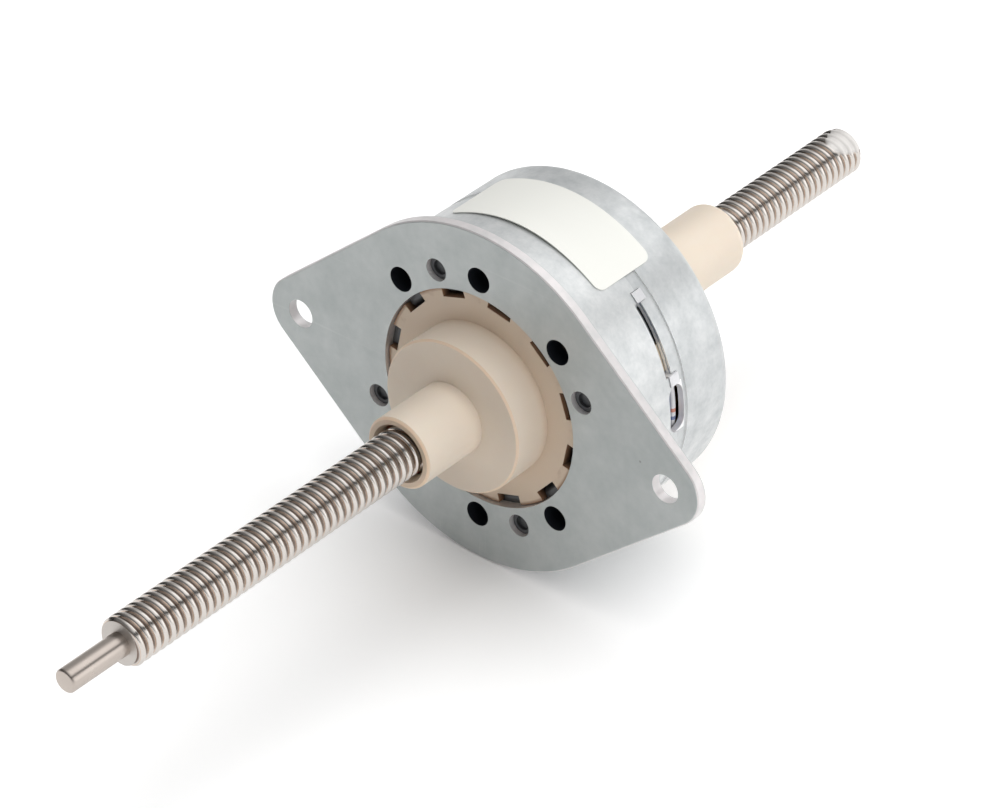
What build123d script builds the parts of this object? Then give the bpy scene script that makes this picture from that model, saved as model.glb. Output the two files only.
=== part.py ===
from build123d import *
from math import cos, radians, sin
import os

# Linear actuator with a permanent magnet stepper motor, in millimetres.
# The lead screw lies along Y, with its pin at the front, towards -Y.
# The origin is the centre of the mounting plate's front face, the ears point along X, and Z is up.
# Angles round the screw start at +X and grow towards +Z.

# Mounting plate
plate_thickness = 1.4
plate_round_radius = 23.1
ear_spacing = 56.0
ear_radius = 4.8
ear_hole_radius = 1.9
plate_bore_radius = 14.45
plate_edge_break = 0.2

# Holes on one circle of the plate
hole_circle_radius = 16.8
vent_hole_radius = 1.65
vent_angles = (45, 90, 135, 225, 270, 315)
rivet_hole_radius = 1.5
rivet_count = 4
rivet_first_angle = 22.5
rivet_clearance = 0.05
rivet_recess = 0.7
rivet_dimple_radius = 0.95
rivet_dimple_depth = 0.4
rivet_pocket_depth = 0.8

# Drawn cups, one for each half of the stator
can_radius = 21.0
cup_wall = 1.0
cup_depth = 10.05
cup_corner_radius = 1.2
neck_length = 1.9
neck_step = 0.2

# Flat plates between the two coils
pole_sheet = 0.8
pole_plate_clearance = 0.1
lug_width = 1.4
lug_angles = (16.0, 45.9, 196.0, 225.9)
lug_stand_out = 0.15
lug_clearance = 0.05

# Claw poles, bent out of the cups and the flat plates
claws_per_plate = 12
claw_bore_radius = 13.1
claw_thickness = 0.9
claw_root_width = 3.1
claw_tip_width = 1.5
claw_tip_gap = 0.9
claw_bend_radius = 1.0
front_claw_angle = 18.75
stack_angle = 7.5

# Openings at the seam
window_first_angle = 17.5
window_last_angle = 44.0
window_depth = 1.25
window_end_room = 1.0
lead_slot_angle = 5.2
lead_slot_length = 6.3
lead_slot_width = 2.8

# Coils
bobbin_bore_radius = 14.3
bobbin_wall = 0.8
bobbin_flange = 0.7
bobbin_end_clearance = 0.05
coil_rim_room = 1.15
winding_setback = 0.35
winding_clearance = 0.03

# Leads inside the can, and the block that holds their ends
lead_radius = 0.4
lead_clearance = 0.15
lead_pitch = 0.95
lead_count = 3
lead_first_angle = -8.0
lead_end_angle = 13.5
lead_room = 0.1
lead_end_room = 0.4
anchor_first_angle = 18.8
anchor_end_angle = 28.5

# Blank label on top of the can
label_first_angle = 53.5
label_last_angle = 119.0
label_front = 7.2
label_back = 16.1
label_thickness = 0.12
label_corner_radius = 1.2
label_film = 0.02

# Moulded housings
ring_radius = 14.3
ring_proud = 0.8
ring_notch_width = 3.5
ring_notch_clearance = 0.1
ring_clearance = 0.05
boss_radius = 10.1
boss_height = 6.3
boss_edge_break = 0.25
sleeve_radius = 4.7
front_sleeve_length = 9.6
rear_sleeve_length = 18.6
rear_sleeve_end_radius = 1.2
front_sleeve_edge_break = 0.3
mouth_radius = 3.8
mouth_depth = 5.4
guide_clearance = 0.06

# Ball bearings
bearing_bore_radius = 5.0
bearing_outer_radius = 7.5
bearing_width = 4.0
bearing_seat_clearance = 0.01
inner_land_radius = 5.75
outer_land_radius = 6.75
ball_radius = 0.8
ball_count = 7
ball_clearance = 0.02
shield_thickness = 0.25
shield_gap = 0.1
cage_length = 1.2
cage_clearance = 0.1
pocket_floor = 1.2
washer_thickness = 0.4
washer_bore_radius = 6.0
washer_edge_clearance = 0.2

# Rotor
nut_body_radius = 6.2
nut_shoulder_relief = 0.8
journal_setback = 0.1
hub_length = 15.7
magnet_bore_radius = 9.8
magnet_air_gap = 0.3
magnet_length = 16.3
magnet_edge_break = 0.3
rotor_fit = 0.01
thread_clearance = 0.05

# Lead screw
screw_radius = 3.175
screw_front = -61.3
screw_rear = 73.0
screw_front_chamfer = 0.35
screw_rear_chamfer = 0.5
pin_radius = 1.5
pin_length = 8.8
pin_chamfer = 0.35

# How far a cutter runs past the face that it opens
cut_over = 1.0

# Places that follow from the sizes above
seam = plate_thickness + cup_depth
can_rear = seam + cup_depth
cup_bore_radius = ring_radius + ring_clearance
cup_inside_radius = can_radius - cup_wall
claw_outer_radius = claw_bore_radius + claw_thickness
ring_notch_floor = claw_bore_radius - ring_notch_clearance
pole_plate_radius = cup_inside_radius - pole_plate_clearance
bobbin_flange_radius = cup_inside_radius - coil_rim_room
winding_radius = bobbin_flange_radius - winding_setback
lead_circle_radius = bobbin_flange_radius + lead_clearance + lead_radius
lead_room_radius = lead_circle_radius - lead_radius - lead_room
cup_claw_length = cup_depth - pole_sheet - claw_tip_gap
pole_claw_length = cup_depth - cup_wall - claw_tip_gap
front_floor = plate_thickness - boss_height + pocket_floor
rear_floor = can_rear + boss_height - pocket_floor
front_bearing = front_floor
rear_bearing = rear_floor - washer_thickness - bearing_width
guide_radius = screw_radius + guide_clearance
ball_circle_radius = (inner_land_radius + outer_land_radius) / 2
magnet_radius = claw_bore_radius - magnet_air_gap
pocket_radius = bearing_outer_radius + bearing_seat_clearance
front_wall = plate_thickness + cup_wall
rear_wall = can_rear - cup_wall
nose = plate_thickness - boss_height - front_sleeve_length
sleeve_back = can_rear + boss_height + rear_sleeve_length
half_pitch = 180 / claws_per_plate
rear_claw_angle = front_claw_angle + stack_angle

TO_REAR = 1
TO_FRONT = -1


def face_at(y):
    """Plane across the screw at y, seen from the front: local x is +X and local y is +Z."""
    return Plane.XZ.offset(-y)


def radial_plane(angle, y=0.0, radius=0.0):
    """Plane that faces outwards at an angle round the screw."""
    out = (cos(radians(angle)), 0, sin(radians(angle)))
    along = (-sin(radians(angle)), 0, cos(radians(angle)))
    place = (radius * out[0], y, radius * out[2])
    return Plane(origin=place, x_dir=along, z_dir=out)


def turned(angle, y=0.0, side=TO_REAR):
    """Place of a piece that is drawn on the +X side, turned round the screw and moved to y."""
    flip = 0 if side == TO_REAR else 180
    return Location((0, y, 0), (0, -angle, 0)) * Location((0, 0, 0), (flip, 0, 0))


def ring_of_places(first_angle, count, y=0.0, side=TO_REAR):
    """Equal steps round the screw."""
    step = 360 / count
    return [turned(first_angle + step * number, y, side) for number in range(count)]


def wedge(radius, first_angle, last_angle):
    """Slice of a disc between two angles."""
    with BuildSketch() as slice_of_disc:
        with BuildLine():
            rim = CenterArc((0, 0), radius, first_angle, last_angle - first_angle)
            Line((0, 0), rim @ 0)
            Line((0, 0), rim @ 1)
        make_face()
    return slice_of_disc.sketch


def curved_block(inner_radius, outer_radius, first_angle, last_angle, front, back):
    """Block that follows the can between two angles."""
    with BuildPart() as block:
        with BuildSketch(face_at(front)):
            add(wedge(outer_radius, first_angle, last_angle))
            Circle(inner_radius, mode=Mode.SUBTRACT)
        extrude(amount=front - back)
    return block.part


def revolved(points, rounded=(), bevelled=()):
    """Solid turned round the screw from (radius, y) points, with (point, size) pairs eased."""
    with BuildPart() as turned_part:
        with BuildSketch(Plane.XY) as profile:
            with BuildLine():
                Polyline(*points, close=True)
            make_face()
            for corner, radius in rounded:
                fillet(profile.vertices().sort_by_distance(corner)[0], radius)
            for corner, size in bevelled:
                chamfer(profile.vertices().sort_by_distance(corner)[0], size)
        revolve(axis=Axis.Y)
    return turned_part.part


def rod(radius, front, back):
    """Plain cylinder from front to back along the screw."""
    with BuildPart() as cylinder:
        with BuildSketch(face_at(front)):
            Circle(radius)
        extrude(amount=front - back)
    return cylinder.part


def tube(inner_radius, outer_radius, front, back):
    """Plain ring from front to back along the screw."""
    with BuildPart() as ring:
        with BuildSketch(face_at(front)):
            Circle(outer_radius)
            Circle(inner_radius, mode=Mode.SUBTRACT)
        extrude(amount=front - back)
    return ring.part


def cup_shell(face, side):
    """End wall and skirt of a drawn cup, whose outer face is at y = face."""
    points = [
        (cup_bore_radius, face),
        (can_radius, face),
        (can_radius, face + side * cup_depth),
        (cup_inside_radius, face + side * cup_depth),
        (cup_inside_radius, face + side * cup_wall),
        (cup_bore_radius, face + side * cup_wall),
    ]
    return revolved(points, rounded=[(points[1], cup_corner_radius)])


def claw_pole(sheet, length):
    """One claw on the +X side: it leaves a sheet at y = 0 and points towards +Y."""
    root_reach = cup_bore_radius + claw_thickness / 2
    points = [
        (root_reach, 0),
        (claw_bore_radius, 0),
        (claw_bore_radius, length),
        (claw_outer_radius, length),
        (claw_outer_radius, sheet),
        (root_reach, sheet),
    ]
    with BuildPart() as claw:
        add(revolved(points, rounded=[(points[1], claw_bend_radius)]))
        with BuildSketch(Plane.YZ):
            with BuildLine():
                Polyline(
                    (0, -claw_root_width / 2),
                    (0, claw_root_width / 2),
                    (length, claw_tip_width / 2),
                    (length, -claw_tip_width / 2),
                    close=True,
                )
            make_face()
        extrude(amount=root_reach, mode=Mode.INTERSECT)
    return claw.part


def lead_slot_cutter():
    """Oval through the wall of the can at the seam, where the leads lie."""
    with BuildPart() as oval:
        with BuildSketch(radial_plane(lead_slot_angle, seam, lead_circle_radius)):
            SlotOverall(lead_slot_length, lead_slot_width)
        extrude(amount=can_radius)
    return oval.part


def lug_cutters():
    """Notches in the rims of the cups, where the lugs of the flat plates pass."""
    with BuildPart() as notches:
        for angle in lug_angles:
            with BuildSketch(radial_plane(angle, seam)):
                Rectangle(lug_width + 2 * lug_clearance, 2 * (pole_sheet + lug_clearance))
            extrude(amount=can_radius + cut_over)
        front = seam - pole_sheet - cut_over
        back = seam + pole_sheet + cut_over
        add(rod(pole_plate_radius, front, back), mode=Mode.SUBTRACT)
    return notches.part


def pole_plate(side, first_angle):
    """Flat plate that touches the seam plane, with its lugs and its claws.

    Its rim is cut back where the leads lie and behind the window.
    """
    claw = claw_pole(pole_sheet, pole_claw_length)
    lead_room_angles = (lead_first_angle - lead_end_room, lead_end_angle + lead_end_room)
    window_room_angles = (window_first_angle + window_end_room, window_last_angle - window_end_room)
    with BuildPart() as plate:
        with BuildSketch(face_at(seam)):
            Circle(pole_plate_radius)
        extrude(amount=-side * pole_sheet)
        for angle in lug_angles:
            with BuildSketch(radial_plane(angle, seam + side * pole_sheet / 2)):
                Rectangle(lug_width, pole_sheet)
            extrude(amount=can_radius + lug_stand_out)
        with BuildSketch(face_at(seam)):
            add(wedge(can_radius, *lead_room_angles))
            add(wedge(can_radius, *window_room_angles))
            Circle(lead_room_radius, mode=Mode.SUBTRACT)
            Circle(cup_bore_radius)
        extrude(amount=-side * pole_sheet, mode=Mode.SUBTRACT)
        with Locations(*ring_of_places(first_angle, claws_per_plate, seam, side)):
            add(claw)
    return plate.part


def bobbin(wall_face, side):
    """Spool of one coil, from the end wall of its cup to the flat plate."""
    start = wall_face + side * bobbin_end_clearance
    length = cup_depth - cup_wall - pole_sheet - 2 * bobbin_end_clearance
    core_radius = bobbin_bore_radius + bobbin_wall
    points = [
        (bobbin_bore_radius, start),
        (bobbin_flange_radius, start),
        (bobbin_flange_radius, start + side * bobbin_flange),
        (core_radius, start + side * bobbin_flange),
        (core_radius, start + side * (length - bobbin_flange)),
        (bobbin_flange_radius, start + side * (length - bobbin_flange)),
        (bobbin_flange_radius, start + side * length),
        (bobbin_bore_radius, start + side * length),
    ]
    return revolved(points)


def winding(wall_face, side):
    """Packed wire of one coil, between the flanges of its spool."""
    inset = bobbin_end_clearance + bobbin_flange + winding_clearance
    room = cup_depth - cup_wall - pole_sheet - 2 * inset
    start = wall_face + side * inset
    ends = sorted((start, start + side * room))
    return tube(bobbin_bore_radius + bobbin_wall + winding_clearance, winding_radius, *ends)


def housing(face, side, sleeve_length, **end):
    """Moulded ring, boss and sleeve outside a cup face, without its bore; side points inwards.

    The outer end of the sleeve is rounded or bevelled by the size given.
    """
    boss_end = face - side * boss_height
    sleeve_end = boss_end - side * sleeve_length
    points = [
        (0, face + side * cup_wall),
        (ring_radius, face + side * cup_wall),
        (ring_radius, face - side * ring_proud),
        (boss_radius, face - side * ring_proud),
        (boss_radius, boss_end),
        (sleeve_radius, boss_end),
        (sleeve_radius, sleeve_end),
        (0, sleeve_end),
    ]
    rounded = [(points[6], end["rounded"])] if "rounded" in end else []
    bevelled = [(points[6], end["bevelled"])] if "bevelled" in end else []
    bevelled.append((points[4], boss_edge_break))
    return revolved(points, rounded, bevelled)


def ring_notches(face, side, first_angle):
    """Cutters for the notches in the rim of a housing, one for each claw of the cup."""
    with BuildPart() as cutters:
        with BuildSketch(face_at(face + side * (cup_wall + cut_over))):
            with PolarLocations(ring_notch_floor, claws_per_plate, first_angle):
                Rectangle(2 * ring_radius, ring_notch_width, align=(Align.MIN, Align.CENTER))
        extrude(amount=side * (cup_wall + ring_proud + 2 * cut_over))
    return cutters.part


def bearing_outer_ring(front):
    """Outer ring with its raceway and a shield at each side."""
    middle = front + bearing_width / 2
    shield_radius = inner_land_radius + shield_gap
    back = front + bearing_width
    points = [
        (shield_radius, front),
        (bearing_outer_radius, front),
        (bearing_outer_radius, back),
        (shield_radius, back),
        (shield_radius, back - shield_thickness),
        (outer_land_radius, back - shield_thickness),
        (outer_land_radius, front + shield_thickness),
        (shield_radius, front + shield_thickness),
    ]
    with BuildPart() as ring:
        add(revolved(points))
        with BuildSketch(Plane.XY):
            with Locations((ball_circle_radius, middle)):
                Circle(ball_radius + ball_clearance)
        revolve(axis=Axis.Y, mode=Mode.SUBTRACT)
    return ring.part


def bearing_inner_ring(front):
    """Inner ring with its raceway."""
    middle = front + bearing_width / 2
    with BuildPart() as ring:
        add(tube(bearing_bore_radius, inner_land_radius, front, front + bearing_width))
        with BuildSketch(Plane.XY):
            with Locations((ball_circle_radius, middle)):
                Circle(ball_radius + ball_clearance)
        revolve(axis=Axis.Y, mode=Mode.SUBTRACT)
    return ring.part


def ball_set(front):
    """Balls and the crown that spaces them."""
    middle = front + bearing_width / 2
    with BuildPart() as balls:
        inner = inner_land_radius + cage_clearance
        outer = outer_land_radius - cage_clearance
        add(tube(inner, outer, middle - cage_length / 2, middle + cage_length / 2))
        with Locations(*ring_of_places(0, ball_count)):
            with Locations((ball_circle_radius, middle, 0)):
                Sphere(ball_radius)
    return balls.part


os.makedirs("parts", exist_ok=True)

# Mounting plate: a round plate with two ears
with BuildPart() as flange_plate:
    with BuildSketch(face_at(0)):
        with BuildSketch(mode=Mode.PRIVATE) as outline:
            Circle(plate_round_radius)
            with Locations((-ear_spacing / 2, 0), (ear_spacing / 2, 0)):
                Circle(ear_radius)
        make_hull(outline.edges())
    extrude(amount=-plate_thickness)
    chamfer(flange_plate.faces().sort_by(Axis.Y)[0].edges(), plate_edge_break)
    with BuildSketch(face_at(0)):
        Circle(plate_bore_radius)
        with Locations((-ear_spacing / 2, 0), (ear_spacing / 2, 0)):
            Circle(ear_hole_radius)
        with PolarLocations(hole_circle_radius, rivet_count, rivet_first_angle):
            Circle(rivet_hole_radius)
        for angle in vent_angles:
            with PolarLocations(hole_circle_radius, 1, angle):
                Circle(vent_hole_radius)
    extrude(amount=-plate_thickness, mode=Mode.SUBTRACT)
flange_plate.part.label = "flange_plate"
export_step(flange_plate.part, "parts/flange_plate.step")

cup_claw = claw_pole(cup_wall, cup_claw_length)
seam_openings = [lead_slot_cutter(), lug_cutters()]

# Front cup: its end wall is riveted into the plate by bosses pushed out of it
with BuildPart() as front_cup:
    add(cup_shell(plate_thickness, TO_REAR))
    with Locations(*ring_of_places(front_claw_angle, claws_per_plate, plate_thickness, TO_REAR)):
        add(cup_claw)
    with BuildSketch(face_at(plate_thickness)):
        with PolarLocations(hole_circle_radius, rivet_count, rivet_first_angle):
            Circle(rivet_hole_radius - rivet_clearance)
    extrude(amount=plate_thickness - rivet_recess)
    with BuildSketch(face_at(rivet_recess)):
        with PolarLocations(hole_circle_radius, rivet_count, rivet_first_angle):
            Circle(rivet_dimple_radius)
    extrude(amount=-rivet_dimple_depth, mode=Mode.SUBTRACT)
    with BuildSketch(face_at(plate_thickness + cup_wall)):
        with PolarLocations(hole_circle_radius, rivet_count, rivet_first_angle):
            Circle(rivet_hole_radius - 2 * rivet_clearance)
    extrude(amount=rivet_pocket_depth, mode=Mode.SUBTRACT)
    with BuildSketch(face_at(plate_thickness)):
        for angle in vent_angles:
            with PolarLocations(hole_circle_radius, 1, angle):
                Circle(vent_hole_radius)
    extrude(amount=-cup_wall, mode=Mode.SUBTRACT)
    with BuildSketch(face_at(seam)):
        add(wedge(can_radius + cut_over, window_first_angle, window_last_angle))
        Circle(cup_inside_radius - cut_over, mode=Mode.SUBTRACT)
    extrude(amount=window_depth, mode=Mode.SUBTRACT)
    add(seam_openings, mode=Mode.SUBTRACT)
front_cup.part.label = "front_cup"
export_step(front_cup.part, "parts/front_cup.step")

# Rear cup: the same stamping without rivets, with a narrower neck at its rim
with BuildPart() as rear_cup:
    add(cup_shell(can_rear, TO_FRONT))
    with Locations(*ring_of_places(rear_claw_angle, claws_per_plate, can_rear, TO_FRONT)):
        add(cup_claw)
    with BuildSketch(face_at(can_rear)):
        for angle in vent_angles:
            with PolarLocations(hole_circle_radius, 1, angle):
                Circle(vent_hole_radius)
    extrude(amount=cup_wall, mode=Mode.SUBTRACT)
    neck_cut = can_radius + cut_over
    add(tube(can_radius - neck_step, neck_cut, seam, seam + neck_length), mode=Mode.SUBTRACT)
    add(seam_openings, mode=Mode.SUBTRACT)
rear_cup.part.label = "rear_cup"
export_step(rear_cup.part, "parts/rear_cup.step")

# Flat pole plates, back to back at the seam, each half a claw pitch from its cup
with BuildPart() as front_pole_plate:
    add(pole_plate(TO_FRONT, front_claw_angle + half_pitch))
front_pole_plate.part.label = "front_pole_plate"
export_step(front_pole_plate.part, "parts/front_pole_plate.step")

with BuildPart() as rear_pole_plate:
    add(pole_plate(TO_REAR, rear_claw_angle + half_pitch))
rear_pole_plate.part.label = "rear_pole_plate"
export_step(rear_pole_plate.part, "parts/rear_pole_plate.step")

# Coils: a spool and its wire in each cup
with BuildPart() as front_bobbin:
    add(bobbin(front_wall, TO_REAR))
front_bobbin.part.label = "front_bobbin"
export_step(front_bobbin.part, "parts/front_bobbin.step")

with BuildPart() as rear_bobbin:
    add(bobbin(rear_wall, TO_FRONT))
rear_bobbin.part.label = "rear_bobbin"
export_step(rear_bobbin.part, "parts/rear_bobbin.step")

with BuildPart() as front_winding:
    add(winding(front_wall, TO_REAR))
front_winding.part.label = "front_winding"
export_step(front_winding.part, "parts/front_winding.step")

with BuildPart() as rear_winding:
    add(winding(rear_wall, TO_FRONT))
rear_winding.part.label = "rear_winding"
export_step(rear_winding.part, "parts/rear_winding.step")

# Leads that lie behind the oval opening, and the block that holds them in the window
with BuildPart() as coil_leads:
    with BuildSketch(Plane.XY.rotated((0, -lead_first_angle, 0))):
        for number in range(lead_count):
            with Locations((lead_circle_radius, seam + lead_pitch * (number - 1))):
                Circle(lead_radius)
    revolve(axis=Axis.Y, revolution_arc=lead_first_angle - lead_end_angle)
coil_leads.part.label = "coil_leads"
export_step(coil_leads.part, "parts/coil_leads.step")

with BuildPart() as lead_anchor:
    anchor_front = seam - window_depth
    anchor_back = seam + pole_sheet
    anchor_angles = (anchor_first_angle, anchor_end_angle)
    add(curved_block(lead_room_radius, pole_plate_radius, *anchor_angles, anchor_front, anchor_back))
lead_anchor.part.label = "lead_anchor"
export_step(lead_anchor.part, "parts/lead_anchor.step")

# Blank label
with BuildPart() as label:
    film = can_radius + label_film
    label_angles = (label_first_angle, label_last_angle)
    add(curved_block(film, film + label_thickness, *label_angles, label_front, label_back))
    corners = label.edges().filter_by(lambda edge: edge.length < 2 * label_thickness)
    fillet(corners, label_corner_radius)
label.part.label = "label"
export_step(label.part, "parts/label.step")

# Front housing: bearing pocket, guide bore and a wider mouth
with BuildPart() as front_housing:
    add(housing(plate_thickness, TO_REAR, front_sleeve_length, bevelled=front_sleeve_edge_break))
    add(ring_notches(plate_thickness, TO_REAR, front_claw_angle), mode=Mode.SUBTRACT)
    add(rod(pocket_radius, front_floor, seam), mode=Mode.SUBTRACT)
    add(rod(guide_radius, nose - cut_over, seam), mode=Mode.SUBTRACT)
    add(rod(mouth_radius, nose - cut_over, nose + mouth_depth), mode=Mode.SUBTRACT)
front_housing.part.label = "front_housing"
export_step(front_housing.part, "parts/front_housing.step")

# Rear housing: bearing pocket and a long plain sleeve round the screw
with BuildPart() as rear_housing:
    add(housing(can_rear, TO_FRONT, rear_sleeve_length, rounded=rear_sleeve_end_radius))
    add(ring_notches(can_rear, TO_FRONT, rear_claw_angle), mode=Mode.SUBTRACT)
    add(rod(pocket_radius, seam, rear_floor), mode=Mode.SUBTRACT)
    add(rod(mouth_radius, seam, sleeve_back + cut_over), mode=Mode.SUBTRACT)
rear_housing.part.label = "rear_housing"
export_step(rear_housing.part, "parts/rear_housing.step")

# Bearings
with BuildPart() as front_bearing_outer_ring:
    add(bearing_outer_ring(front_bearing))
front_bearing_outer_ring.part.label = "front_bearing_outer_ring"
export_step(front_bearing_outer_ring.part, "parts/front_bearing_outer_ring.step")

with BuildPart() as rear_bearing_outer_ring:
    add(bearing_outer_ring(rear_bearing))
rear_bearing_outer_ring.part.label = "rear_bearing_outer_ring"
export_step(rear_bearing_outer_ring.part, "parts/rear_bearing_outer_ring.step")

with BuildPart() as front_bearing_inner_ring:
    add(bearing_inner_ring(front_bearing))
front_bearing_inner_ring.part.label = "front_bearing_inner_ring"
export_step(front_bearing_inner_ring.part, "parts/front_bearing_inner_ring.step")

with BuildPart() as rear_bearing_inner_ring:
    add(bearing_inner_ring(rear_bearing))
rear_bearing_inner_ring.part.label = "rear_bearing_inner_ring"
export_step(rear_bearing_inner_ring.part, "parts/rear_bearing_inner_ring.step")

with BuildPart() as front_bearing_balls:
    add(ball_set(front_bearing))
front_bearing_balls.part.label = "front_bearing_balls"
export_step(front_bearing_balls.part, "parts/front_bearing_balls.step")

with BuildPart() as rear_bearing_balls:
    add(ball_set(rear_bearing))
rear_bearing_balls.part.label = "rear_bearing_balls"
export_step(rear_bearing_balls.part, "parts/rear_bearing_balls.step")

# Washer that loads the rear bearing
with BuildPart() as preload_washer:
    washer_radius = bearing_outer_radius - washer_edge_clearance
    add(tube(washer_bore_radius, washer_radius, rear_floor - washer_thickness, rear_floor))
preload_washer.part.label = "preload_washer"
export_step(preload_washer.part, "parts/preload_washer.step")

# Nut that turns on the screw, with a journal for each bearing
with BuildPart() as drive_nut:
    front_shoulder = front_bearing + bearing_width
    rear_shoulder = rear_bearing
    nut_front = front_bearing + journal_setback
    nut_back = rear_bearing + bearing_width - journal_setback
    journal_radius = bearing_bore_radius - rotor_fit
    add(rod(journal_radius, nut_front, nut_back))
    add(rod(nut_body_radius, front_shoulder, rear_shoulder))
    shoulder_radius = inner_land_radius - rotor_fit
    front_relief = (front_shoulder, front_shoulder + nut_shoulder_relief)
    rear_relief = (rear_shoulder - nut_shoulder_relief, rear_shoulder)
    add(tube(shoulder_radius, nut_body_radius, *front_relief), mode=Mode.SUBTRACT)
    add(tube(shoulder_radius, nut_body_radius, *rear_relief), mode=Mode.SUBTRACT)
    add(rod(screw_radius + thread_clearance, nut_front, nut_back), mode=Mode.SUBTRACT)
drive_nut.part.label = "drive_nut"
export_step(drive_nut.part, "parts/drive_nut.step")

# Moulded hub on the nut, and the ring magnet on the hub
with BuildPart() as rotor_hub:
    hub_front = seam - hub_length / 2
    hub_back = seam + hub_length / 2
    add(tube(nut_body_radius + rotor_fit, magnet_bore_radius - rotor_fit, hub_front, hub_back))
rotor_hub.part.label = "rotor_hub"
export_step(rotor_hub.part, "parts/rotor_hub.step")

with BuildPart() as rotor_magnet:
    magnet_front = seam - magnet_length / 2
    magnet_back = seam + magnet_length / 2
    add(tube(magnet_bore_radius, magnet_radius, magnet_front, magnet_back))
    rims = rotor_magnet.edges().filter_by(GeomType.CIRCLE).sort_by(SortBy.RADIUS)[-2:]
    chamfer(rims, magnet_edge_break)
rotor_magnet.part.label = "rotor_magnet"
export_step(rotor_magnet.part, "parts/rotor_magnet.step")

# Lead screw: a plain rod at the size of its thread's crests, with a thinner pin
with BuildPart() as lead_screw:
    add(rod(screw_radius, screw_front, screw_rear))
    chamfer(lead_screw.edges().sort_by(Axis.Y)[0], screw_front_chamfer)
    chamfer(lead_screw.edges().sort_by(Axis.Y)[-1], screw_rear_chamfer)
    add(rod(pin_radius, screw_front - pin_length, screw_front))
    chamfer(lead_screw.edges().sort_by(Axis.Y)[0], pin_chamfer)
lead_screw.part.label = "lead_screw"
export_step(lead_screw.part, "parts/lead_screw.step")
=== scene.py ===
"""Finishes, thread, label, stage and camera for the linear actuator stepper motor.

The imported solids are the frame. This script dresses them, winds the real thread on the lead screw,
lays the blank label on the can, and lights the motor on a plain white floor.
"""

import logging
import math
from dataclasses import dataclass, field
from enum import Enum

import bmesh
import bpy
from mathutils import Matrix, Vector


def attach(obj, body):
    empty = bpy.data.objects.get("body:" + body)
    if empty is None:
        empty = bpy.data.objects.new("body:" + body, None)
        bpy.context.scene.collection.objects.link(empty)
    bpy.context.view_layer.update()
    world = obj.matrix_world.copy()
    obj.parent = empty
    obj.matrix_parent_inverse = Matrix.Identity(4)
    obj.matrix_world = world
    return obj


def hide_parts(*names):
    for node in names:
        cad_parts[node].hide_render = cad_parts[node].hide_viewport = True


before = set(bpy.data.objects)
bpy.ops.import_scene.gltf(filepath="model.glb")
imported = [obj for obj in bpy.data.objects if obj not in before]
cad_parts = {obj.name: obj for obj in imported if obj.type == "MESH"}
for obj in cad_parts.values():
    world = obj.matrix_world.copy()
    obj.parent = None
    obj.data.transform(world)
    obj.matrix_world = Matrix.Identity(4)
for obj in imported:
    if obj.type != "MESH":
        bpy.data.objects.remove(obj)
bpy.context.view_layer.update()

LOG = logging.getLogger("stepper")
MM = 0.001
SCREW_FRONT = -61.3 * MM
SCREW_REAR = 73.0 * MM
SEAM = 11.45 * MM
Colour = tuple[float, float, float]
Triple = tuple[float, float, float]
Socket = bpy.types.NodeSocket


class Body(Enum):
    """Bodies that a new piece may ride on."""

    STATOR = "stator"
    SCREW = "screw"


class Slot(Enum):
    """Material slots of the record that a new piece may take."""

    SCREW_STEEL = "stainless_screw_steel"
    HOUSING_PLASTIC = "beige_housing_plastic"
    LABEL_FILM = "label_film"


# Node helpers


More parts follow.
